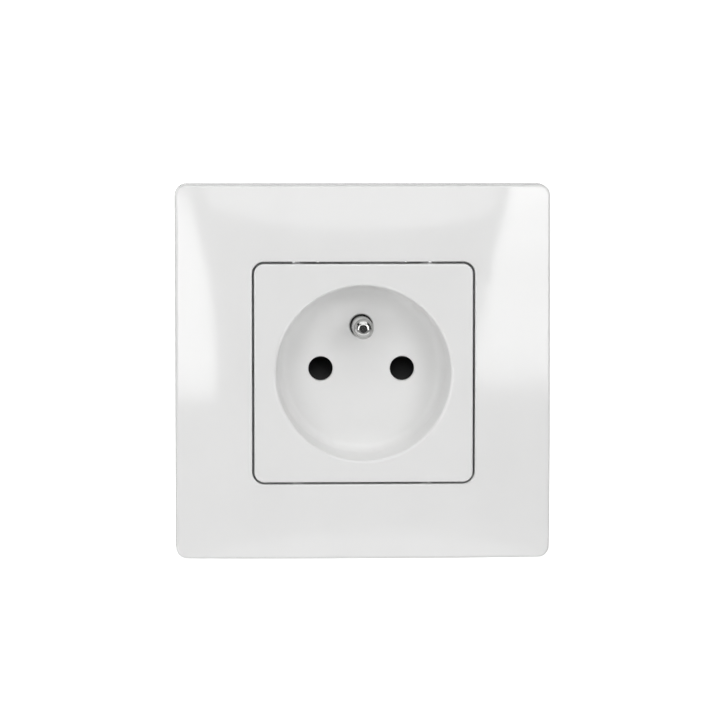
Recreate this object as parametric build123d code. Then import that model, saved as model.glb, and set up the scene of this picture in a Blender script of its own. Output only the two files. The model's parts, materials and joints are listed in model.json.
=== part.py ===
from build123d import *
import os

# Wall socket with an earth pin, for a round wall box.
# Millimetres. X to the right and Z up as seen from the room, Y into the wall.
# The origin is the centre of the socket on the wall surface, which is the plane y = 0.

# Cover frame
frame_width = 86.6
frame_corner = 2.8
frame_draft_deg = 2.0
frame_wall = 1.9
frame_front_wall = 1.7
frame_edge_round = 0.7
frame_rim_height = 10.35
frame_crown = 2.2
frame_crown_power = 3.0
crown_grid_steps = 8
crown_grid_reach = 1.12
frame_rim_wall = 1.3
frame_rim_depth = 5.6
frame_rim_round = 0.35
frame_leg_width = 7.0
frame_leg_wall = 1.5
frame_barb = 0.8
frame_rib_wall = 1.0

# Socket cover with its dish
cover_width = 50.1
cover_corner = 2.3
cover_height = 10.6
cover_face_wall = 1.8
cover_skirt_wall = 1.6
cover_edge_round = 0.45
cover_gap = 0.5
dish_depth = 15.0
dish_floor_radius = 19.6
dish_taper = 0.45
dish_wall = 1.45
dish_floor_wall = 1.6
dish_floor_round = 2.2
dish_rim_round = 0.75
pin_hole_radius = 2.85
pin_hole_chamfer = 0.2
pin_spacing = 19.0
earth_rise = 10.0
tongue_width = 5.0
tongue_offset = 13.0
tongue_barb = 0.7
tongue_barb_length = 1.6

# Support plate
plate_width = 71.0
plate_corner = 6.0
plate_thickness = 1.0
box_screw_spacing = 60.0
box_screw_hole_radius = 2.1
board_screw_spacing = 61.0
board_screw_hole_radius = 1.9
plate_lug_height = 5.0
plate_lug_offset = 20.0
plate_lug_inset = 1.6
lug_window_height = 1.4
lug_window_edge = 1.5

# Housing
flange_radius = 29.0
flange_thickness = 2.0
cup_wall = 1.5
cup_floor = 1.6
body_width = 36.0
body_height = 44.0
body_corner = 6.0
housing_depth = 26.0
rear_cover_thickness = 1.6
rear_hook_width = 6.0
rear_hook_length = 9.0
rear_hook_wall = 1.2
rear_hook_offset = 13.0
rear_nub_height = 0.9
rear_nub_length = 2.0
rear_nub_inset = 2.0
side_cutout_half_height = 6.2
fixing_screw_offset = 18.5
fixing_boss_radius = 3.0
fixing_boss_depth = 12.0
fixing_shaft_radius = 1.25
fixing_head_radius = 2.5
fixing_head_height = 1.7
fixing_screw_length = 9.0
head_chamfer_share = 1 / 6
claw_side_room = 2.0

# Shutter
shutter_pad_half_width = 3.3
shutter_pad_half_height = 2.9
shutter_window_clearance = 0.5
shutter_travel = 5.9
shutter_bar = 1.3
shutter_sheet = 1.6
shutter_foot = 3.7
shutter_pocket_depth = 6.6
shutter_tip_sheet = 0.8
shutter_ramp_step = 0.1
spring_radius = 1.9
spring_wire_radius = 0.22
spring_turns = 7.0
spring_length = 10.4
spigot_radius = 1.2
spigot_length = 1.6

# Sheet brass contacts
partition = 1.8
contact_sheet = 0.8
contact_half_width = 3.6
contact_leaf_half_height = 2.6
contact_tail_width = 5.0
contact_leaf_length = 9.0
contact_grip_radius = 2.35
contact_grip_gap = 2.05
contact_flare = 0.9
contact_bend_at = 0.25
contact_grip_from = 0.6
contact_grip_to = 0.72
chamber_clearance = 0.8

# Earth pin
earth_pin_radius = 2.4
earth_pin_length = 14.0
earth_pin_tip_round = 1.6
earth_groove_radius = 2.2
earth_groove_reach = 0.2
earth_seat_radius = 2.6
earth_seat_depth = 0.4
earth_collar_radius = 3.6
earth_collar_length = 1.6
earth_shank_radius = 1.7
earth_rivet_radius = 2.2
earth_rivet_height = 0.6

# Cage terminals
terminal_screw_radius = 1.75
terminal_head_radius = 2.9
terminal_head_height = 1.8
terminal_slot_width = 0.9
terminal_slot_depth = 1.0
cage_width = 8.6
cage_depth = 6.0
cage_side_wall = 1.0
cage_screw_wall = 1.6
cage_wire_wall = 1.2
cage_travel = 3.0
cage_wire_space = 3.3
tongue_rear_overhang = 0.6
terminal_lip = 1.7
terminal_access_radius = 2.3
wire_hole_radius = 1.6
wire_hole_spacing = 3.9
wire_funnel = 0.3

# Expanding claws
claw_width = 8.0
claw_sheet = 1.2
claw_pivot_gap = 1.5
claw_pivot_y = 3.0
claw_trunnion_radius = 0.9
claw_barrel_radius = 1.15
claw_lever = 4.7
claw_arm_overhang = 1.3
claw_slot_relief = 1.0
claw_leg_inset = 2.6
claw_knee_y = 7.0
claw_heel_y = 11.0
claw_hook_y = 19.0
claw_leg_end_y = 23.0
claw_hook_outset = 1.6
claw_tooth_depth = 1.3
claw_teeth = 4
claw_screw_radius = 1.5
claw_screw_length = 13.8
claw_head_radius = 2.4
claw_head_height = 1.8
claw_nut_width = 4.2
claw_nut_height = 2.4
claw_nut_gap = 1.3
claw_lug_sheet = 1.0
claw_lug_reach = 1.3

# Clearances
running_clearance = 0.05
slide_clearance = 0.3
seat_clearance = 0.1

# Two places or radii nearer than this are taken as one when edges are picked
same_place = 0.01

# Places that follow from the sizes above
floor_y = dish_depth - cover_height
dish_back_y = floor_y + dish_floor_wall
dish_mouth_radius = dish_floor_radius + dish_taper
dish_outer_radius = dish_mouth_radius + dish_wall
earth_hole_radius = earth_seat_radius + seat_clearance
deck_y = dish_back_y
pocket_back_y = deck_y + shutter_pocket_depth
chamber_y = pocket_back_y + partition
pin_x = pin_spacing / 2
opening_width = cover_width + 2 * cover_gap
screw_end_z = body_height / 2 - terminal_lip
head_inner_z = screw_end_z - terminal_head_height
cage_outer_z = head_inner_z - cage_travel - slide_clearance
cage_screw_z = cage_outer_z - cage_screw_wall
tongue_outer_z = cage_screw_z - 4 * seat_clearance
tongue_inner_z = tongue_outer_z - contact_sheet
cage_wire_z = tongue_inner_z - cage_wire_space
cage_inner_z = cage_wire_z - cage_wire_wall
chamber_inner_z = cage_inner_z - slide_clearance
cage_front_y = chamber_y + 2 * contact_sheet
cage_back_y = cage_front_y + cage_depth
wire_z = (tongue_inner_z + cage_wire_z) / 2
plate_front_y = -plate_thickness
lug_window_y = plate_front_y - plate_lug_height + lug_window_edge
rear_nub_y = housing_depth - rear_hook_length + rear_nub_inset
claw_pivot_x = max(dish_outer_radius + claw_pivot_gap,
                   cover_width / 2 + seat_clearance + claw_head_radius - claw_lever)
claw_screw_x = claw_pivot_x + claw_lever
claw_arm_x = claw_screw_x + claw_arm_overhang
claw_leg_x = claw_pivot_x - claw_leg_inset
claw_hook_x = claw_pivot_x + claw_hook_outset
terminals = {"live": (-pin_x, -1), "neutral": (pin_x, -1), "earth": (0.0, 1)}


def front_plane(y):
    return Plane(origin=(0, y, 0), x_dir=(1, 0, 0), z_dir=(0, -1, 0))


def slab(sketch, y_front, y_back):
    return extrude(front_plane(y_back) * sketch, amount=y_back - y_front)


def block(x_low, x_high, y_low, y_high, z_low, z_high):
    size = Box(x_high - x_low, y_high - y_low, z_high - z_low)
    return Pos((x_low + x_high) / 2, (y_low + y_high) / 2, (z_low + z_high) / 2) * size


def rod_y(radius, y_front, y_back, x=0.0, z=0.0):
    return Pos(x, (y_front + y_back) / 2, z) * Rot(90, 0, 0) * Cylinder(radius, y_back - y_front)


def rod_z(radius, z_low, z_high, x, y):
    return Pos(x, y, (z_low + z_high) / 2) * Cylinder(radius, z_high - z_low)


def span_z(side, z_inner, z_outer):
    """Order two heights measured outward from the contact line, up or down."""
    return min(side * z_inner, side * z_outer), max(side * z_inner, side * z_outer)


# The crowned front of the cover frame
def crown_y(x, z, half):
    inner = opening_width / frame_width
    powers = abs(x / half) ** frame_crown_power + abs(z / half) ** frame_crown_power
    reach = powers ** (1 / frame_crown_power)
    fall = frame_crown * (reach ** 2 - inner ** 2) / (1 - inner ** 2)
    return fall - frame_rim_height


def crown_cutter():
    half = frame_width / 2
    pitch = crown_grid_reach * half / crown_grid_steps
    grid = [pitch * step for step in range(-crown_grid_steps, crown_grid_steps + 1)]
    points = [[Vector(x, crown_y(x, z, half), z) for x in grid] for z in grid]
    surface = Face.make_surface_from_array_of_points(points)
    return extrude(surface, amount=3 * cover_height, dir=(0, -1, 0))


def cover_frame():
    cutter = crown_cutter()
    outline = RectangleRounded(frame_width, frame_width, frame_corner)
    body = extrude(front_plane(0) * outline, amount=2 * cover_height, taper=frame_draft_deg) - cutter
    body = fillet(body.faces().sort_by(Axis.Y)[0].edges(), frame_edge_round)
    inside = frame_width - 2 * frame_wall
    hollow_outline = RectangleRounded(inside, inside, frame_corner)
    hollow = extrude(front_plane(0) * hollow_outline, amount=2 * cover_height, taper=frame_draft_deg)
    hollow -= Pos(0, frame_front_wall, 0) * cutter
    rim_outer = opening_width + 2 * frame_rim_wall
    rim_back = frame_rim_depth - frame_rim_height
    hollow -= slab(RectangleRounded(rim_outer, rim_outer, cover_corner + cover_gap + frame_rim_wall),
                   -2 * cover_height, rim_back)
    hollow -= frame_ribs()
    opening = slab(RectangleRounded(opening_width, opening_width, cover_corner + cover_gap),
                   -2 * cover_height, cover_height)
    frame = body - hollow - opening
    front = frame.faces().sort_by(Axis.Y)[0]
    rim_edges = front.edges().filter_by(
        lambda edge: max(abs(edge.center().X), abs(edge.center().Z)) < rim_outer / 2)
    return fillet(rim_edges, frame_rim_round)


def frame_ribs():
    """Snap legs beside the plate's lugs and a rib from each leg to the frame's wall."""
    leg_inner = plate_width / 2 - plate_lug_inset + seat_clearance
    leg_outer = leg_inner + frame_leg_wall
    ribs = Part()
    for turn in (0, 180):
        for side in (-1, 1):
            z_mid = side * plate_lug_offset
            leg = block(leg_inner, leg_outer, -2 * cover_height, plate_front_y - seat_clearance,
                        z_mid - frame_leg_width / 2, z_mid + frame_leg_width / 2)
            barb = block(leg_inner - frame_barb, leg_inner, lug_window_y + seat_clearance,
                         lug_window_y + lug_window_height - seat_clearance,
                         z_mid - frame_leg_width / 4, z_mid + frame_leg_width / 4)
            rib = block(leg_outer, frame_width / 2, -2 * cover_height, plate_front_y - 3 * plate_thickness,
                        z_mid - frame_rib_wall / 2, z_mid + frame_rib_wall / 2)
            ribs += Rot(0, turn, 0) * (leg + barb + rib)
    return ribs


def dish_hollow():
    overrun = 1.0
    slope = (dish_mouth_radius - dish_floor_radius) / dish_depth
    cone = Cone(dish_floor_radius, dish_mouth_radius + slope * overrun, dish_depth + overrun)
    hollow = Pos(0, floor_y - (dish_depth + overrun) / 2, 0) * Rot(90, 0, 0) * cone
    return fillet(hollow.edges().sort_by(Axis.Y)[-1], dish_floor_round)


def cover_tongues():
    """Snap tongues that carry on from the skirt, through the plate, and catch behind the flange."""
    outer = cover_width / 2
    barb_y = flange_thickness + seat_clearance
    tongues = Part()
    for side in (-1, 1):
        for x_mid in (-tongue_offset, tongue_offset):
            x_low = x_mid - tongue_width / 2
            x_high = x_mid + tongue_width / 2
            z_low, z_high = span_z(side, outer - cover_skirt_wall, outer)
            end_y = barb_y + tongue_barb_length
            tongues += block(x_low, x_high, plate_front_y - 1, end_y, z_low, z_high)
            hook = Polyline(
                (barb_y, side * outer),
                (barb_y, side * (outer + tongue_barb)),
                (end_y, side * outer),
                close=True,
            )
            barb = extrude(Plane.YZ * make_face(hook), amount=tongue_width / 2, both=True)
            tongues += Pos(x_mid, 0, 0) * barb
    return tongues


def socket_cover():
    outline = RectangleRounded(cover_width, cover_width, cover_corner)
    cover = slab(outline, -cover_height, plate_front_y)
    cover = fillet(cover.faces().sort_by(Axis.Y)[0].edges(), cover_edge_round)
    inside = cover_width - 2 * cover_skirt_wall
    cover -= slab(RectangleRounded(inside, inside, cover_corner - cover_skirt_wall / 2),
                  cover_face_wall - cover_height, plate_front_y)
    cover += rod_y(dish_outer_radius, cover_face_wall / 2 - cover_height, dish_back_y)
    cover -= dish_hollow()
    rim = cover.edges().filter_by(GeomType.CIRCLE).filter_by(
        lambda edge: edge.radius > dish_floor_radius and abs(edge.center().Y + cover_height) < same_place)
    cover = fillet(rim, dish_rim_round)
    for x in (-pin_x, pin_x):
        cover -= rod_y(pin_hole_radius, floor_y - 1, dish_back_y + 1, x)
    cover -= rod_y(earth_hole_radius, floor_y - 1, dish_back_y + 1, 0, earth_rise)
    holes = cover.edges().filter_by(GeomType.CIRCLE).filter_by(
        lambda edge: edge.radius < dish_floor_radius / 2 and abs(edge.center().Y - floor_y) < same_place)
    cover = chamfer(holes, pin_hole_chamfer)
    return cover + cover_tongues()


def support_plate():
    plate = slab(RectangleRounded(plate_width, plate_width, plate_corner), plate_front_y, 0)
    plate -= rod_y(dish_outer_radius + 1, plate_front_y - 1, 1)
    through = (plate_front_y - 1, 1)
    slot_middle = (cover_width - cover_skirt_wall) / 2
    slot = Rectangle(tongue_width + 4 * slide_clearance, cover_skirt_wall + 2 * tongue_barb)
    for side in (-1, 1):
        plate -= rod_y(box_screw_hole_radius, *through, 0, side * box_screw_spacing / 2)
        plate -= rod_y(claw_screw_radius + seat_clearance, *through, side * claw_screw_x, 0)
        for other in (-1, 1):
            plate -= slab(Pos(other * tongue_offset, side * slot_middle) * slot, *through)
            plate -= rod_y(board_screw_hole_radius, *through, other * board_screw_spacing / 2,
                           side * board_screw_spacing / 2)
            plate -= rod_y(fixing_shaft_radius + seat_clearance, *through, other * fixing_screw_offset,
                           side * fixing_screw_offset)
    for turn in (0, 180):
        plate += Rot(0, turn, 0) * (frame_lugs() + claw_lugs())
    return plate


def frame_lugs():
    """Lugs folded forward at one edge of the plate, each with a window for a barb of the frame."""
    lug_outer = plate_width / 2 - plate_lug_inset
    lugs = Part()
    for side in (-1, 1):
        z_mid = side * plate_lug_offset
        lug = block(lug_outer - plate_thickness, lug_outer, plate_front_y - plate_lug_height, plate_front_y,
                    z_mid - frame_leg_width / 2, z_mid + frame_leg_width / 2)
        window = block(lug_outer - plate_thickness - 1, lug_outer + 1, lug_window_y,
                       lug_window_y + lug_window_height, z_mid - frame_leg_width / 3,
                       z_mid + frame_leg_width / 3)
        lugs += lug - window
    return lugs


def claw_lugs():
    """Two ears folded back at the right edge of the plate's opening, which carry a claw's trunnions."""
    lugs = Part()
    for side in (-1, 1):
        inner = claw_width / 2 + slide_clearance
        z_low, z_high = span_z(side, inner, inner + claw_lug_sheet)
        lug = block(claw_pivot_x - claw_lug_reach, claw_pivot_x + claw_lug_reach, 0,
                    claw_pivot_y + claw_lug_reach, z_low, z_high)
        lugs += lug - rod_z(claw_trunnion_radius + running_clearance, z_low - 1, z_high + 1,
                            claw_pivot_x, claw_pivot_y)
    return lugs


# The moulded housing behind the wall
def terminal_chamber(x, side):
    half = cage_width / 2 + slide_clearance
    z_low, z_high = span_z(side, chamber_inner_z, screw_end_z + seat_clearance)
    chamber = block(x - half, x + half, chamber_y, housing_depth, z_low, z_high)
    z_low, z_high = span_z(side, screw_end_z - 1, body_height / 2 + 1)
    middle_y = (cage_front_y + cage_back_y) / 2
    return chamber + rod_z(terminal_access_radius, z_low, z_high, x, middle_y)


def contact_chamber(x):
    half = contact_half_width + chamber_clearance
    chamber = block(x - half, x + half, chamber_y, housing_depth, -half, half)
    tail_half = contact_tail_width / 2 + slide_clearance
    chamber += block(x - tail_half, x + tail_half, chamber_y, housing_depth, -chamber_inner_z, 0)
    return chamber + rod_y(pin_hole_radius, pocket_back_y - 1, chamber_y + 1, x)


def earth_chamber():
    half = contact_half_width + slide_clearance
    chamber = block(-half, half, chamber_y, housing_depth, earth_rise - half, chamber_inner_z + 1)
    collar_front = chamber_y - earth_collar_length
    chamber += rod_y(earth_collar_radius + seat_clearance, collar_front, chamber_y + 1, 0, earth_rise)
    return chamber + rod_y(earth_seat_radius + running_clearance, deck_y - 1, chamber_y, 0, earth_rise)


def shutter_pocket():
    outer = pin_x + shutter_pad_half_width + shutter_bar / 2 + slide_clearance
    inner = pin_x - shutter_pad_half_width - shutter_bar / 2 - slide_clearance
    bottom = -shutter_pad_half_height - shutter_foot - shutter_travel - slide_clearance
    top = shutter_top_z() + slide_clearance
    pad_top = shutter_pad_half_height + slide_clearance
    pocket = block(-outer, outer, deck_y - 1, pocket_back_y, bottom, pad_top)
    for side in (-1, 1):
        x_low, x_high = sorted((side * inner, side * outer))
        pocket += block(x_low, x_high, deck_y - 1, pocket_back_y, 0, top)
    half = spring_radius + spring_wire_radius + slide_clearance
    return pocket + block(-half, half, deck_y - 1, pocket_back_y, spring_seat_z(), bottom + 1)


def shutter_top_z():
    return shutter_pad_half_height + 2 * (pin_hole_radius + shutter_window_clearance / 2) + shutter_bar


def spring_seat_z():
    return -shutter_pad_half_height - shutter_foot - spring_length


def housing_outline():
    return RectangleRounded(body_width, body_height, body_corner)


def contact_housing():
    cup_radius = dish_outer_radius + slide_clearance + cup_wall
    housing = rod_y(flange_radius, 0, flange_thickness)
    housing += rod_y(cup_radius, 0, deck_y + cup_floor)
    housing += slab(housing_outline(), 0, housing_depth)
    for x in (-fixing_screw_offset, fixing_screw_offset):
        for z in (-fixing_screw_offset, fixing_screw_offset):
            housing += rod_y(fixing_boss_radius, 0, fixing_boss_depth, x, z)
            housing -= rod_y(fixing_shaft_radius, -1, fixing_screw_length, x, z)
    housing -= rod_y(dish_outer_radius + slide_clearance, -1, deck_y)
    slot_middle = (cover_width - cover_skirt_wall) / 2
    slot_width = tongue_width + 4 * slide_clearance
    slot = Rectangle(slot_width, cover_skirt_wall + 2 * seat_clearance)
    relief = Rectangle(slot_width, cover_skirt_wall + 2 * tongue_barb + 4 * seat_clearance)
    for side in (-1, 1):
        for x in (-tongue_offset, tongue_offset):
            place = Pos(x, side * slot_middle)
            housing -= slab(place * slot, -1, flange_thickness)
            housing -= slab(place * relief, flange_thickness, 2 * flange_thickness + tongue_barb_length)
        x_low, x_high = sorted((side * (body_width / 2 + claw_side_room), side * (flange_radius + 1)))
        housing -= block(x_low, x_high, -1, deck_y + cup_floor + 1, -side_cutout_half_height,
                         side_cutout_half_height)
        for z in (-rear_hook_offset, rear_hook_offset):
            housing += rear_nub(side, z)
    housing -= shutter_pocket() + earth_chamber()
    for x, side in terminals.values():
        housing -= terminal_chamber(x, side)
    for x in (-pin_x, pin_x):
        housing -= contact_chamber(x)
    return housing


def rear_nub(side, z):
    """A wedge on the housing's side that a hook of the rear cover snaps over."""
    half_length = rear_hook_width / 4
    edge = body_width / 2
    nub_end_y = rear_nub_y + rear_nub_length
    wedge = Polyline(
        (side * (edge - 1), rear_nub_y),
        (side * (edge + rear_nub_height), rear_nub_y),
        (side * edge, nub_end_y),
        (side * (edge - 1), nub_end_y),
        close=True,
    )
    return Pos(0, 0, z) * extrude(make_face(wedge), amount=half_length, both=True)


def rear_cover():
    cover = slab(housing_outline(), housing_depth, housing_depth + rear_cover_thickness)
    inner = body_width / 2 + seat_clearance
    outer = inner + rear_hook_wall
    half = rear_hook_width / 2
    back = housing_depth + rear_cover_thickness
    for side in (-1, 1):
        for z in (-rear_hook_offset, rear_hook_offset):
            x_low, x_high = sorted((side * inner, side * outer))
            x_root = sorted((side * (inner - 1), side * outer))
            cover += block(x_low, x_high, housing_depth - rear_hook_length, back, z - half, z + half)
            cover += block(*x_root, housing_depth, back, z - half, z + half)
            cover -= block(x_low - 1, x_high + 1, rear_nub_y - seat_clearance,
                           rear_nub_y + rear_nub_length + seat_clearance,
                           z - half / 2 - seat_clearance, z + half / 2 + seat_clearance)
    for x, side in terminals.values():
        for offset in (-wire_hole_spacing / 2, wire_hole_spacing / 2):
            cover -= rod_y(wire_hole_radius, housing_depth - 1, back + 1, x + offset, side * wire_z)
    mouths = cover.edges().filter_by(GeomType.CIRCLE).filter_by(
        lambda edge: edge.radius < 2 * wire_hole_radius and abs(edge.center().Y - back) < same_place)
    return chamfer(mouths, wire_funnel)


# Shutter behind the dish, pushed down by the plug's pins on its two ramps
def shutter():
    back = pocket_back_y - slide_clearance
    sheet_front = back - shutter_sheet
    half = pin_x + shutter_pad_half_width + shutter_bar / 2
    foot = -shutter_pad_half_height - shutter_foot
    window_half = pin_hole_radius + shutter_window_clearance / 2
    column = shutter_pad_half_width + shutter_bar / 2
    body = block(-half, half, sheet_front, back, foot, shutter_pad_half_height)
    for x in (-pin_x, pin_x):
        body += block(x - column, x + column, sheet_front, back, 0, shutter_top_z())
        body -= block(x - window_half, x + window_half, sheet_front - 1, back + 1,
                      shutter_pad_half_height + shutter_ramp_step, shutter_top_z() - shutter_bar)
        ramp = Polyline(
            (deck_y + slide_clearance, -shutter_pad_half_height),
            (back, -shutter_pad_half_height),
            (back, shutter_pad_half_height),
            (back - shutter_tip_sheet, shutter_pad_half_height),
            close=True,
        )
        pad = extrude(Plane.YZ * make_face(ramp), amount=shutter_pad_half_width, both=True)
        body += Pos(x, 0, 0) * pad
    spigot_y = (deck_y + pocket_back_y) / 2
    root = block(-2 * spigot_radius, 2 * spigot_radius, spigot_y - spigot_radius, back,
                 foot, foot + shutter_foot)
    return body + root + rod_z(spigot_radius, foot - spigot_length, foot + 1, 0, spigot_y)


def shutter_spring():
    pitch = (spring_length - 2 * spring_wire_radius) / spring_turns
    path = Helix(pitch, spring_turns * pitch, spring_radius)
    section = Plane(origin=path @ 0, z_dir=path % 0) * Circle(spring_wire_radius)
    coil = sweep(section, path=path, is_frenet=True)
    return Pos(0, (deck_y + pocket_back_y) / 2, spring_seat_z() + spring_wire_radius) * coil


# Contacts, earth pin and terminals
def bent_tail(x, side, z_from):
    """A strip that runs over the partition to a terminal and folds back into its cage."""
    half = contact_tail_width / 2
    z_low, z_high = span_z(side, z_from, tongue_outer_z)
    tail = block(x - half, x + half, chamber_y, chamber_y + contact_sheet, z_low, z_high)
    z_low, z_high = span_z(side, tongue_inner_z, tongue_outer_z)
    return tail + block(x - half, x + half, chamber_y, cage_back_y + tongue_rear_overhang, z_low, z_high)


def contact_leaf():
    """One sprung leaf beside the pin, in plan, with a groove that fits the pin."""
    start = contact_half_width - contact_sheet
    grip = contact_grip_gap
    front = chamber_y
    inner = [
        (start, front),
        (start, front + contact_leaf_length * contact_bend_at),
        (grip, front + contact_leaf_length * contact_grip_from),
        (grip, front + contact_leaf_length * contact_grip_to),
        (grip + contact_flare, front + contact_leaf_length),
    ]
    outer = [(x + contact_sheet, y) for x, y in reversed(inner)]
    plan = make_face(Polyline(*inner, *outer, close=True))
    leaf = extrude(plan, amount=contact_leaf_half_height, both=True)
    return leaf - rod_y(contact_grip_radius, front, front + contact_leaf_length + 1)


def pin_contact(x):
    half = contact_half_width
    contact = block(x - half, x + half, chamber_y, chamber_y + contact_sheet, -half, half)
    contact -= rod_y(pin_hole_radius, chamber_y - 1, chamber_y + 1, x)
    leaf = contact_leaf()
    contact += Pos(x, 0, 0) * (leaf + mirror(leaf, about=Plane.YZ))
    return contact + bent_tail(x, -1, pin_hole_radius + contact_sheet / 2)


def earth_pin():
    tip_y = floor_y - earth_pin_length
    collar_front = chamber_y - earth_collar_length
    groove_y = floor_y - earth_groove_reach
    seat_y = floor_y + earth_seat_depth
    pin = rod_y(earth_pin_radius, tip_y, groove_y, 0, earth_rise)
    pin = fillet(pin.edges().sort_by(Axis.Y)[0], earth_pin_tip_round)
    pin += rod_y(earth_groove_radius, groove_y, seat_y, 0, earth_rise)
    pin += rod_y(earth_seat_radius, seat_y, collar_front, 0, earth_rise)
    pin += rod_y(earth_collar_radius, collar_front, chamber_y, 0, earth_rise)
    strap_back = chamber_y + contact_sheet
    pin += rod_y(earth_shank_radius, chamber_y, strap_back, 0, earth_rise)
    return pin + rod_y(earth_rivet_radius, strap_back, strap_back + earth_rivet_height, 0, earth_rise)


def earth_strap():
    half = contact_half_width
    strap_back = chamber_y + contact_sheet
    strap = block(-half, half, chamber_y, strap_back, earth_rise - half, earth_rise + half)
    strap += bent_tail(0, 1, earth_rise)
    return strap - rod_y(earth_shank_radius, chamber_y - 1, strap_back + 1, 0, earth_rise)


def terminal_cage(x, side):
    half = cage_width / 2
    z_low, z_high = span_z(side, cage_inner_z, cage_outer_z)
    cage = block(x - half, x + half, cage_front_y, cage_back_y, z_low, z_high)
    inner = half - cage_side_wall
    z_low, z_high = span_z(side, cage_wire_z, cage_screw_z)
    cage -= block(x - inner, x + inner, cage_front_y - 1, cage_back_y + 1, z_low, z_high)
    z_low, z_high = span_z(side, cage_screw_z - 1, cage_outer_z + 1)
    middle_y = (cage_front_y + cage_back_y) / 2
    return cage - rod_z(terminal_screw_radius + running_clearance, z_low, z_high, x, middle_y)


def slotted_head(radius, height, slot_width, slot_depth):
    """A screw head that stands on z = 0, with its slot on top."""
    head = Pos(0, 0, height / 2) * Cylinder(radius, height)
    head = chamfer(head.edges().sort_by(Axis.Z)[-1], height * head_chamfer_share)
    slot = Pos(0, 0, height - slot_depth / 2) * Box(2 * radius + 1, slot_width, slot_depth)
    return head - slot


def terminal_screw(x, side):
    middle_y = (cage_front_y + cage_back_y) / 2
    tip = tongue_outer_z + seat_clearance
    shaft = Pos(0, 0, (tip - head_inner_z) / 2) * Cylinder(terminal_screw_radius, head_inner_z - tip)
    screw = shaft + slotted_head(terminal_head_radius, terminal_head_height, terminal_slot_width,
                                 terminal_slot_depth)
    turn = 0 if side > 0 else 180
    return Pos(x, middle_y, side * head_inner_z) * Rot(turn, 0, 0) * screw


def plate_screw(x, z, shaft_radius, length, head_radius, head_height):
    """A screw whose head bears on the plate's front, with its slot towards the room."""
    shaft = Pos(0, 0, -length / 2) * Cylinder(shaft_radius, length)
    slot_width = shaft_radius / 2
    screw = shaft + slotted_head(head_radius, head_height, slot_width, head_height / 2)
    return Pos(x, plate_front_y, z) * Rot(90, 0, 0) * screw


def fixing_screws():
    places = [(x, z) for x in (-fixing_screw_offset, fixing_screw_offset)
              for z in (-fixing_screw_offset, fixing_screw_offset)]
    length = fixing_screw_length + plate_thickness - 4 * seat_clearance
    return Compound([plate_screw(x, z, fixing_shaft_radius - seat_clearance, length, fixing_head_radius,
                                 fixing_head_height) for x, z in places])


# Claws at the two sides, spread by a screw and a nut
def claw(side):
    """A bell crank: a forked short arm round the screw and a long toothed leg along the housing."""
    inner = [
        (claw_pivot_x - claw_sheet / 2, claw_pivot_y),
        (claw_pivot_x - claw_sheet / 2, claw_knee_y),
        (claw_leg_x, claw_heel_y),
        (claw_leg_x, claw_hook_y),
        (claw_hook_x - claw_sheet, claw_leg_end_y),
    ]
    outer = [(x + claw_sheet, y) for x, y in reversed(inner)]
    half = claw_width / 2
    part = extrude(make_face(Polyline(*inner, *outer, close=True)), amount=half, both=True)
    part += block(claw_pivot_x, claw_arm_x, claw_pivot_y - claw_sheet / 2, claw_pivot_y + claw_sheet / 2,
                  -half, half)
    slot_half = claw_screw_radius + slide_clearance
    slot_start = claw_screw_x - slot_half - claw_slot_relief
    part -= block(slot_start, claw_arm_x + 1, 0, 2 * claw_pivot_y, -slot_half, slot_half)
    part += rod_z(claw_barrel_radius, -half, half, claw_pivot_x, claw_pivot_y)
    reach = half + slide_clearance + claw_lug_sheet
    part += rod_z(claw_trunnion_radius, -reach, reach, claw_pivot_x, claw_pivot_y)
    gap = claw_width / claw_teeth
    notch = Rot(0, 45, 0) * Box(claw_tooth_depth, claw_leg_end_y, claw_tooth_depth)
    for tooth in range(1, claw_teeth):
        part -= Pos(claw_hook_x, claw_leg_end_y, tooth * gap - half) * notch
    return part if side > 0 else mirror(part, about=Plane.YZ)


def claw_screw(side):
    return plate_screw(side * claw_screw_x, 0, claw_screw_radius, claw_screw_length, claw_head_radius,
                       claw_head_height)


def claw_nut(side):
    front = claw_pivot_y + claw_sheet / 2 + claw_nut_gap
    half = claw_nut_width / 2
    middle = side * claw_screw_x
    nut = block(middle - half, middle + half, front, front + claw_nut_height, -half, half)
    return nut - rod_y(claw_screw_radius + running_clearance, front - 1, front + claw_nut_height + 1, middle)


def nodes():
    made = {
        "cover_frame": cover_frame(),
        "socket_cover": socket_cover(),
        "support_plate": support_plate(),
        "contact_housing": contact_housing(),
        "rear_cover": rear_cover(),
        "shutter": shutter(),
        "shutter_spring": shutter_spring(),
        "live_contact": pin_contact(-pin_x),
        "neutral_contact": pin_contact(pin_x),
        "earth_pin": earth_pin(),
        "earth_strap": earth_strap(),
        "fixing_screws": fixing_screws(),
    }
    for name, (x, side) in terminals.items():
        made[name + "_terminal_cage"] = terminal_cage(x, side)
        made[name + "_terminal_screw"] = terminal_screw(x, side)
    for name, side in (("left", -1), ("right", 1)):
        made[name + "_claw"] = claw(side)
        made[name + "_claw_screw"] = claw_screw(side)
        made[name + "_claw_nut"] = claw_nut(side)
    return made


def main():
    os.makedirs("parts", exist_ok=True)
    for name, part in nodes().items():
        export_step(part, f"parts/{name}.step")


main()
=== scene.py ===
import json
import math

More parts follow.
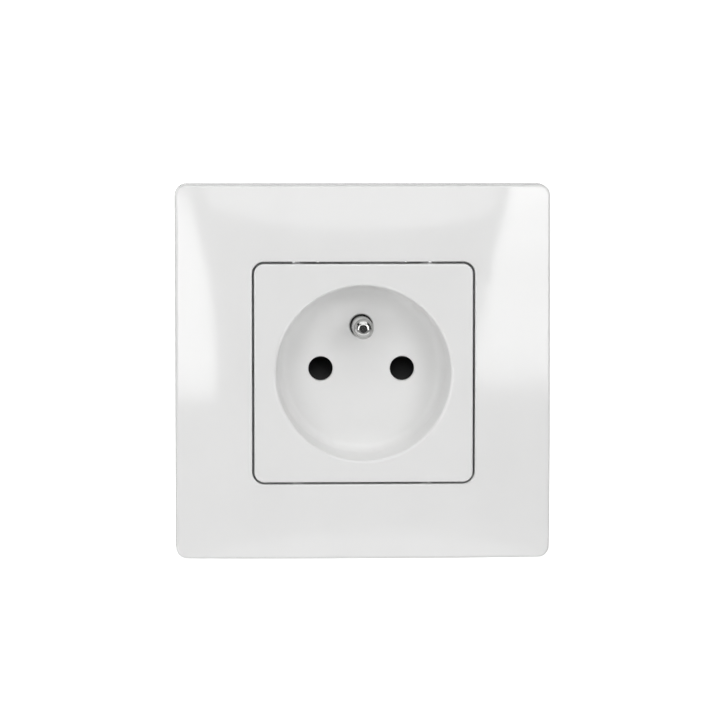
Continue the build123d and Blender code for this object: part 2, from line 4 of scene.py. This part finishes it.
import bmesh
import bpy
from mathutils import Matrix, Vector


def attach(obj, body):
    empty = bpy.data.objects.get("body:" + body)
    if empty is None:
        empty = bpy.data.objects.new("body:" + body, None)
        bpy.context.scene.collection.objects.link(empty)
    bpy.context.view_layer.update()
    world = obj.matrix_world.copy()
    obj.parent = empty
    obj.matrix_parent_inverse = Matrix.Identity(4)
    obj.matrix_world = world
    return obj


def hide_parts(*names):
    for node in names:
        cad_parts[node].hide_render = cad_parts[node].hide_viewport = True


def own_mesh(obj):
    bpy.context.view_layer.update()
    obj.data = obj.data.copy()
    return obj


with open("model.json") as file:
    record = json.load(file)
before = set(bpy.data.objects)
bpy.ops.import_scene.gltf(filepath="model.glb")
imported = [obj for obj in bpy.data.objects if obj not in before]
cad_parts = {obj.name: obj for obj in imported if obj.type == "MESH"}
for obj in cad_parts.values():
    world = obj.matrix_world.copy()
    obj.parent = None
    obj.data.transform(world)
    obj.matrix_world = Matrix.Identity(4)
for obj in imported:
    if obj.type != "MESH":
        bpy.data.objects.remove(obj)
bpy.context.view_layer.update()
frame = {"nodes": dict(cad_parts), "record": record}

# Camera, from a fit to the photograph's frame, cover, dish, holes and pin tip
image_pixels = 720
focal_pixels = 3465.0
sensor_mm = 36.0
camera_place = (-0.0301, -0.8006, 0.0628)
camera_yaw_deg = 2.12
camera_pitch_deg = -4.32
clip_start = 0.01


def add_camera():
    data = bpy.data.cameras.new("camera")
    data.sensor_width = sensor_mm
    data.lens = focal_pixels * sensor_mm / image_pixels
    data.clip_start = clip_start
    camera = bpy.data.objects.new("camera", data)
    bpy.context.scene.collection.objects.link(camera)
    camera.location = camera_place
    yaw = math.radians(camera_yaw_deg)
    pitch = math.radians(camera_pitch_deg)
    level = math.cos(pitch)
    ahead = Vector((math.sin(yaw) * level, math.cos(yaw) * level, math.sin(pitch)))
    camera.rotation_mode = "QUATERNION"
    camera.rotation_quaternion = ahead.to_track_quat("-Z", "Y")
    bpy.context.scene.camera = camera


# Radii between which the cover's finish turns from satin to gloss
dish_edge_inner = 0.0200
dish_edge_outer = 0.0205

# Noise values between which a tone or a roughness runs from low to high
noise_low = 0.3
noise_high = 0.7

# White plastic: its dark and its light tone
white_tones = (0.91, 0.91, 0.905), (0.93, 0.93, 0.925)
plastic_ior = 1.6

# Metals: dark tone, light tone, least and most roughness, how the grain is drawn out, its depth
metals = {
    "zinc_steel": ((0.50, 0.51, 0.52), (0.66, 0.67, 0.68), 0.3, 0.5, (1, 1, 0.1), 0.00002),
    "screw_steel": ((0.50, 0.49, 0.44), (0.68, 0.66, 0.60), 0.25, 0.4, (1, 1, 1), 0.00001),
    "spring_steel": ((0.30, 0.31, 0.33), (0.45, 0.46, 0.48), 0.25, 0.4, (1, 1, 1), 0.00001),
    "contact_brass": ((0.62, 0.43, 0.16), (0.78, 0.57, 0.25), 0.22, 0.4, (0.2, 1, 1), 0.00001),
    "nickel": ((0.52, 0.52, 0.51), (0.60, 0.60, 0.59), 0.08, 0.13, (1, 0.2, 1), 0.000003),
}

# Matt plastics: dark tone, light tone, least and most roughness, depth of the grain
plastics = {
    "white_housing": ((0.62, 0.62, 0.60), (0.68, 0.68, 0.66), 0.5, 0.65, 0.00005),
    "black_plastic": ((0.008, 0.008, 0.009), (0.014, 0.014, 0.015), 0.45, 0.6, 0.00003),
}

# Screws and their threads. The thread is cut into the CAD shaft, so it stays inside the node.
claw_screw_x = 0.0277
claw_shaft_radius = 0.0015
claw_shaft_end = 0.0128
claw_pitch = 0.0005
plate_front_y = -0.001
terminal_x = 0.0095
terminal_y = 0.019
terminal_shaft_radius = 0.00175
terminal_head_z = 0.0185
terminal_shaft_end = 0.0133
terminal_pitch = 0.0006
thread_depth = 0.00025
thread_runout = 0.0004
thread_columns = 24
thread_rows_per_pitch = 6
plain_pitches = 2
shaft_in_head = 0.00015
same_place = 0.000001
sharp_angle_deg = 40

# Shutter spring, with its fixed end down
spring_place = (0.0, 0.0093, -0.017)
spring_length = 0.0104
spring_radius = 0.0019
spring_wire_radius = 0.00022
spring_turns = 7
spring_columns = 12
spring_rows = 24


# Node helpers for the materials
def new_material(name):
    material = bpy.data.materials.new(name)
    material.use_nodes = True
    tree = material.node_tree
    return material, tree, tree.nodes["Principled BSDF"]


def coordinates(tree, scale=(1, 1, 1)):
    source = tree.nodes.new("ShaderNodeTexCoord")
    mapping = tree.nodes.new("ShaderNodeMapping")
    mapping.inputs["Scale"].default_value = scale
    tree.links.new(source.outputs["Object"], mapping.inputs["Vector"])
    return mapping.outputs["Vector"]


def noise(tree, vector, scale, detail=3.0):
    node = tree.nodes.new("ShaderNodeTexNoise")
    node.inputs["Scale"].default_value = scale
    node.inputs["Detail"].default_value = detail
    tree.links.new(vector, node.inputs["Vector"])
    return node.outputs["Fac"]


def ramp(tree, value, low, high, low_at=noise_low, high_at=noise_high):
    """A value that runs from low to high, clamped, as its source runs between two places."""
    node = tree.nodes.new("ShaderNodeMapRange")
    node.inputs["From Min"].default_value = low_at
    node.inputs["From Max"].default_value = high_at
    node.inputs["To Min"].default_value = low
    node.inputs["To Max"].default_value = high
    tree.links.new(value, node.inputs["Value"])
    return node.outputs["Result"]


def color_mix(tree, value, dark, light):
    node = tree.nodes.new("ShaderNodeValToRGB")
    low, high = node.color_ramp.elements
    low.position = noise_low
    low.color = (*dark, 1)
    high.position = noise_high
    high.color = (*light, 1)
    tree.links.new(value, node.inputs["Fac"])
    return node.outputs["Color"]


def bump(tree, value, strength, distance):
    node = tree.nodes.new("ShaderNodeBump")
    node.inputs["Strength"].default_value = strength
    node.inputs["Distance"].default_value = distance
    tree.links.new(value, node.inputs["Height"])
    return node.outputs["Normal"]


def distance_from_axis(tree, place, axis):
    """How far a point lies from the named axis."""
    flat = tree.nodes.new("ShaderNodeVectorMath")
    flat.operation = "MULTIPLY"
    flat.inputs[1].default_value = [0 if name == axis else 1 for name in "XYZ"]
    tree.links.new(place, flat.inputs[0])
    size = tree.nodes.new("ShaderNodeVectorMath")
    size.operation = "LENGTH"
    tree.links.new(flat.outputs[0], size.inputs[0])
    return size.outputs["Value"]


def blend(tree, share, first, second):
    """The first value where the share is 0, the second where it is 1."""
    node = tree.nodes.new("ShaderNodeMix")
    node.data_type = "FLOAT"
    tree.links.new(share, node.inputs[0])
    tree.links.new(first, node.inputs[2])
    tree.links.new(second, node.inputs[3])
    return node.outputs[0]


def white_plastic(name, tone_scale):
    material, tree, shader = new_material(name)
    place = coordinates(tree)
    tone = noise(tree, place, tone_scale)
    tree.links.new(color_mix(tree, tone, *white_tones), shader.inputs["Base Color"])
    shader.inputs["IOR"].default_value = plastic_ior
    return material, tree, shader, place


def gloss_white():
    """Polished moulded plastic: a faint long wave in the gloss and a very faint tone."""
    material, tree, shader, place = white_plastic("gloss_white", tone_scale=60.0)
    fine = noise(tree, place, scale=900.0, detail=4.0)
    tree.links.new(ramp(tree, fine, low=0.07, high=0.09), shader.inputs["Roughness"])
    wave = noise(tree, place, scale=180.0, detail=2.0)
    relief = bump(tree, wave, strength=0.03, distance=0.0001)
    tree.links.new(relief, shader.inputs["Normal"])
    return material


def cover_white():
    """The cover: glossy on its face and rim, satin in the dish."""
    material, tree, shader, place = white_plastic("cover_white", tone_scale=70.0)
    fine = noise(tree, place, scale=2600.0)
    radius = distance_from_axis(tree, place, "Y")
    outside = ramp(tree, radius, 0, 1, dish_edge_inner, dish_edge_outer)
    satin = ramp(tree, fine, low=0.34, high=0.42)
    gloss = ramp(tree, fine, low=0.12, high=0.16)
    tree.links.new(blend(tree, outside, satin, gloss), shader.inputs["Roughness"])
    relief = bump(tree, fine, strength=0.05, distance=0.00005)
    tree.links.new(relief, shader.inputs["Normal"])
    return material


def matt_plastic(name, dark, light, low_rough, high_rough, grain_depth):
    """Eroded moulded plastic, as inside a socket."""
    material, tree, shader = new_material(name)
    place = coordinates(tree)
    tone = noise(tree, place, scale=90.0)
    tree.links.new(color_mix(tree, tone, dark, light), shader.inputs["Base Color"])
    grain = noise(tree, place, scale=3000.0)
    tree.links.new(ramp(tree, grain, low_rough, high_rough), shader.inputs["Roughness"])
    relief = bump(tree, grain, strength=0.4, distance=grain_depth)
    tree.links.new(relief, shader.inputs["Normal"])
    return material


def plated_metal(name, dark, light, low_rough, high_rough, stretch, grain_depth):
    """Plated or rolled metal, with grain drawn out along one direction."""
    material, tree, shader = new_material(name)
    shader.inputs["Metallic"].default_value = 1.0
    tone = noise(tree, coordinates(tree), scale=140.0)
    tree.links.new(color_mix(tree, tone, dark, light), shader.inputs["Base Color"])
    grain = noise(tree, coordinates(tree, stretch), scale=1500.0, detail=2.0)
    tree.links.new(ramp(tree, grain, low_rough, high_rough), shader.inputs["Roughness"])
    relief = bump(tree, grain, strength=0.3, distance=grain_depth)
    tree.links.new(relief, shader.inputs["Normal"])
    return material


def dress():
    """Give each CAD node the finish of its material slot, and the cover one with a satin dish."""
    finishes = {name: plated_metal(name, *row) for name, row in metals.items()}
    finishes.update({name: matt_plastic(name, *row) for name, row in plastics.items()})
    finishes["white_gloss"] = gloss_white()
    cover = cover_white()
    slots = {row["node"]: row["material_slot"] for row in frame["record"]["subparts"]}
    for node, piece in frame["nodes"].items():
        piece.data.materials.clear()
        piece.data.materials.append(cover if node == "socket_cover" else finishes[slots[node]])
    return finishes


# Threads and the spring's coil, in place of the plain solids
def new_piece(name, bm, node, body, slot, finishes):
    """A piece that rides on a body and stands for a CAD node."""
    bmesh.ops.recalc_face_normals(bm, faces=bm.faces)
    mesh = bpy.data.meshes.new(name)
    bm.to_mesh(mesh)
    bm.free()
    mesh.shade_smooth()
    mesh.set_sharp_from_angle(angle=math.radians(sharp_angle_deg))
    mesh.materials.append(finishes[slot])
    piece = bpy.data.objects.new(name, mesh)
    bpy.context.scene.collection.objects.link(piece)
    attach(piece, body)
    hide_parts(node)
    return piece


def add_tube(bm, rings):
    """A closed skin over rings of points that have the same count."""
    rows = [[bm.verts.new(point) for point in ring] for ring in rings]
    count = len(rows[0])
    for low, high in zip(rows, rows[1:]):
        for step in range(count):
            after = (step + 1) % count
            bm.faces.new((low[step], low[after], high[after], high[step]))
    bm.faces.new(rows[0])
    bm.faces.new(list(reversed(rows[-1])))


def thread_radius(radius, pitch, along, turn, length):
    """The shaft's radius some way along and some part of a turn round.

    The thread fades in after a plain neck, and the tip is chamfered.
    """
    share = (along / pitch + turn) % 1.0
    valley = 1.0 - abs(2.0 * share - 1.0)
    fade = max(0.0, min(1.0, (along - plain_pitches * pitch) / thread_runout))
    tip = max(0.0, 1.0 - (length - along) / thread_runout)
    return radius - thread_depth * max(valley * fade, tip)


def threaded_shaft(bm, axis, middle, head_end, shaft_end, radius, pitch):
    """A right-hand thread on a round shaft along Y or Z, from just inside its head to its end."""
    way = 1 if shaft_end > head_end else -1
    start = head_end - way * shaft_in_head
    length = abs(shaft_end - start)
    steps = round(length / pitch * thread_rows_per_pitch)
    rings = []
    for row in range(steps + 1):
        along = length * row / steps
        ring = []
        for column in range(thread_columns):
            turn = column / thread_columns
            handed = turn if axis == "Y" else -way * turn
            reach = thread_radius(radius, pitch, along, handed, length)
            across = middle[0] + reach * math.cos(math.tau * turn)
            other = middle[1] + reach * math.sin(math.tau * turn)
            place = start + way * along
            ring.append((across, place, other) if axis == "Y" else (across, other, place))
        rings.append(ring)
    add_tube(bm, rings)


def head_only(bm, node, axis, head_end, shaft_end):
    """The node's own mesh, without its shaft and closed where the shaft began."""
    along = "XYZ".index(axis)
    way = 1 if shaft_end > head_end else -1
    bm.from_mesh(frame["nodes"][node].data)
    bmesh.ops.remove_doubles(bm, verts=bm.verts, dist=same_place)
    shaft = [vert for vert in bm.verts if (vert.co[along] - head_end) * way > same_place]
    bmesh.ops.delete(bm, geom=shaft, context="VERTS")
    rim = {vert for edge in bm.edges if edge.is_boundary for vert in edge.verts}
    middle = sum((vert.co for vert in rim), Vector()) / len(rim)
    first, second = [index for index in range(3) if index != along]
    bm.faces.new(sorted(rim, key=lambda vert: math.atan2(vert.co[second] - middle[second],
                                                         vert.co[first] - middle[first])))


def threaded_screw(node, axis, middle, head_end, shaft_end, radius, pitch, finishes):
    bm = bmesh.new()
    head_only(bm, node, axis, head_end, shaft_end)
    threaded_shaft(bm, axis, middle, head_end, shaft_end, radius, pitch)
    new_piece(node + "_threaded", bm, node, node, "screw_steel", finishes)


def add_screws(finishes):
    for name, side in (("left", -1), ("right", 1)):
        threaded_screw(name + "_claw_screw", "Y", (side * claw_screw_x, 0), plate_front_y,
                       claw_shaft_end, claw_shaft_radius, claw_pitch, finishes)
    for name, x, side in (("live", -terminal_x, -1), ("neutral", terminal_x, -1), ("earth", 0, 1)):
        threaded_screw(name + "_terminal_screw", "Z", (x, terminal_y), side * terminal_head_z,
                       side * terminal_shaft_end, terminal_shaft_radius, terminal_pitch, finishes)


def add_spring(finishes):
    """The coil, evenly wound, with its fixed end down."""
    steps = spring_turns * spring_rows
    climb = spring_length - 2 * spring_wire_radius
    rings = []
    for row in range(steps + 1):
        angle = math.tau * row / spring_rows
        middle_z = spring_place[2] + spring_wire_radius + climb * row / steps
        ring = []
        for column in range(spring_columns):
            tilt = math.tau * column / spring_columns
            reach = spring_radius + spring_wire_radius * math.cos(tilt)
            ring.append((spring_place[0] + reach * math.cos(angle),
                         spring_place[1] + reach * math.sin(angle),
                         middle_z + spring_wire_radius * math.sin(tilt)))
        rings.append(ring)
    bm = bmesh.new()
    add_tube(bm, rings)
    coil = new_piece("shutter_spring_coil", bm, "shutter_spring", "base", "spring_steel", finishes)
    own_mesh(coil)


# Stage: floor, backdrop, world and lamps
floor_z = -0.30
backdrop_y = 0.95
stage_half = 3.0
stage_height = 3.0
stage_color = 0.86
stage_glow = 0.75
mirrored_glow = 0.2
sky_strength = 0.145
mirrored_sky = 0.05

# Front softboxes, upright in one plane beside the camera, with their edges where the frame
# mirrors them: x from and to, z from and to, brightness
lamp_plane_y = -0.80
front_boxes = {
    "left_box": (-0.52, -0.232, -0.079, 0.20, 2.68),
    "left_upper": (-0.52, -0.232, 0.20, 0.42, 1.0),
    "right_box": (0.239, 0.52, -0.073, 0.11, 2.43),
    "right_middle": (0.239, 0.52, 0.11, 0.19, 2.74),
    "right_upper": (0.239, 0.52, 0.19, 0.42, 3.25),
    "top_box": (-0.20, 0.215, 0.19, 0.70, 1.05),
}

# Softboxes all round: place, aim, width, height, brightness
round_boxes = {
    "overhead": ((0.0, -0.45, 0.75), (0, 0, 0), 1.0, 0.6, 1.05),
    "low_fill": ((0.0, -0.42, -0.27), (0, 0, 0), 0.9, 0.12, 0.6),
    "left_side": ((-0.55, -0.20, 0.05), (0, -0.02, 0.05), 0.4, 0.6, 0.45),
    "right_side": ((0.55, -0.20, 0.05), (0, -0.02, 0.05), 0.4, 0.6, 0.05),
    "rear_left": ((-0.75, 0.55, 0.40), (0, 0, 0), 0.7, 0.6, 2.0),
    "rear_right": ((0.75, 0.55, 0.15), (0, 0, 0), 0.5, 0.5, 1.2),
}


def paper():
    """Pale paper that a camera or a mirror sees as white, and that still takes shadow."""
    material, tree, shader = new_material("paper")
    shader.inputs["Base Color"].default_value = (stage_color, stage_color, stage_color, 1)
    shader.inputs["Roughness"].default_value = 0.9
    path = tree.nodes.new("ShaderNodeLightPath")
    seen = tree.nodes.new("ShaderNodeMath")
    seen.operation = "MAXIMUM"
    tree.links.new(path.outputs["Is Camera Ray"], seen.inputs[0])
    dimmed = tree.nodes.new("ShaderNodeMath")
    dimmed.operation = "MULTIPLY"
    dimmed.inputs[1].default_value = mirrored_glow
    tree.links.new(path.outputs["Is Glossy Ray"], dimmed.inputs[0])
    mirrored = tree.nodes.new("ShaderNodeMath")
    mirrored.operation = "MAXIMUM"
    tree.links.new(dimmed.outputs[0], mirrored.inputs[0])
    tree.links.new(path.outputs["Is Transmission Ray"], mirrored.inputs[1])
    tree.links.new(mirrored.outputs[0], seen.inputs[1])
    glow = tree.nodes.new("ShaderNodeMath")
    glow.operation = "MULTIPLY"
    glow.inputs[1].default_value = stage_glow
    tree.links.new(seen.outputs[0], glow.inputs[0])
    shader.inputs["Emission Color"].default_value = (1, 1, 1, 1)
    tree.links.new(glow.outputs[0], shader.inputs["Emission Strength"])
    return material


def sheet_object(name, corners, material):
    mesh = bpy.data.meshes.new(name)
    mesh.from_pydata(corners, [], [tuple(range(len(corners)))])
    mesh.materials.append(material)
    piece = bpy.data.objects.new(name, mesh)
    bpy.context.scene.collection.objects.link(piece)
    return piece


def add_stage():
    material = paper()
    sheet_object("floor", [(-stage_half, -stage_half, floor_z), (stage_half, -stage_half, floor_z),
                           (stage_half, backdrop_y, floor_z), (-stage_half, backdrop_y, floor_z)],
                 material)
    sheet_object("backdrop", [(-stage_half, backdrop_y, floor_z), (stage_half, backdrop_y, floor_z),
                              (stage_half, backdrop_y, stage_height),
                              (-stage_half, backdrop_y, stage_height)], material)


def add_world():
    """An even room: white to the camera, nearly dark in a mirror, dim as a light."""
    world = bpy.data.worlds.new("studio")
    bpy.context.scene.world = world
    world.use_nodes = True
    tree = world.node_tree
    background = tree.nodes["Background"]
    background.inputs["Color"].default_value = (1, 1, 1, 1)
    path = tree.nodes.new("ShaderNodeLightPath")
    room = tree.nodes.new("ShaderNodeMapRange")
    room.inputs["To Min"].default_value = sky_strength
    room.inputs["To Max"].default_value = mirrored_sky
    tree.links.new(path.outputs["Is Glossy Ray"], room.inputs["Value"])
    strength = tree.nodes.new("ShaderNodeMapRange")
    strength.inputs["To Max"].default_value = 1.0
    tree.links.new(path.outputs["Is Camera Ray"], strength.inputs["Value"])
    tree.links.new(room.outputs["Result"], strength.inputs["To Min"])
    tree.links.new(strength.outputs["Result"], background.inputs["Strength"])


def front_box(name, x_low, x_high, z_low, z_high, radiance):
    """A softbox in the front plane, facing the wall."""
    place = ((x_low + x_high) / 2, lamp_plane_y, (z_low + z_high) / 2)
    aim = (place[0], 0, place[2])
    softbox(name, place, aim, x_high - x_low, z_high - z_low, radiance)


def softbox(name, place, aim, width, height, radiance):
    """A rectangular lamp of a given brightness, whatever its size."""
    data = bpy.data.lights.new(name, "AREA")
    data.shape = "RECTANGLE"
    data.size = width
    data.size_y = height
    data.energy = radiance * 4 * width * height
    lamp = bpy.data.objects.new(name, data)
    bpy.context.scene.collection.objects.link(lamp)
    lamp.location = place
    lamp.rotation_mode = "QUATERNION"
    lamp.rotation_quaternion = (Vector(aim) - Vector(place)).to_track_quat("-Z", "Y")
    lamp.visible_camera = False


def add_lamps():
    for name, row in front_boxes.items():
        front_box(name, *row)
    for name, row in round_boxes.items():
        softbox(name, *row)


add_camera()
made_finishes = dress()
add_screws(made_finishes)
add_spring(made_finishes)
add_stage()
add_world()
add_lamps()
bpy.context.scene.view_settings.view_transform = "Standard"
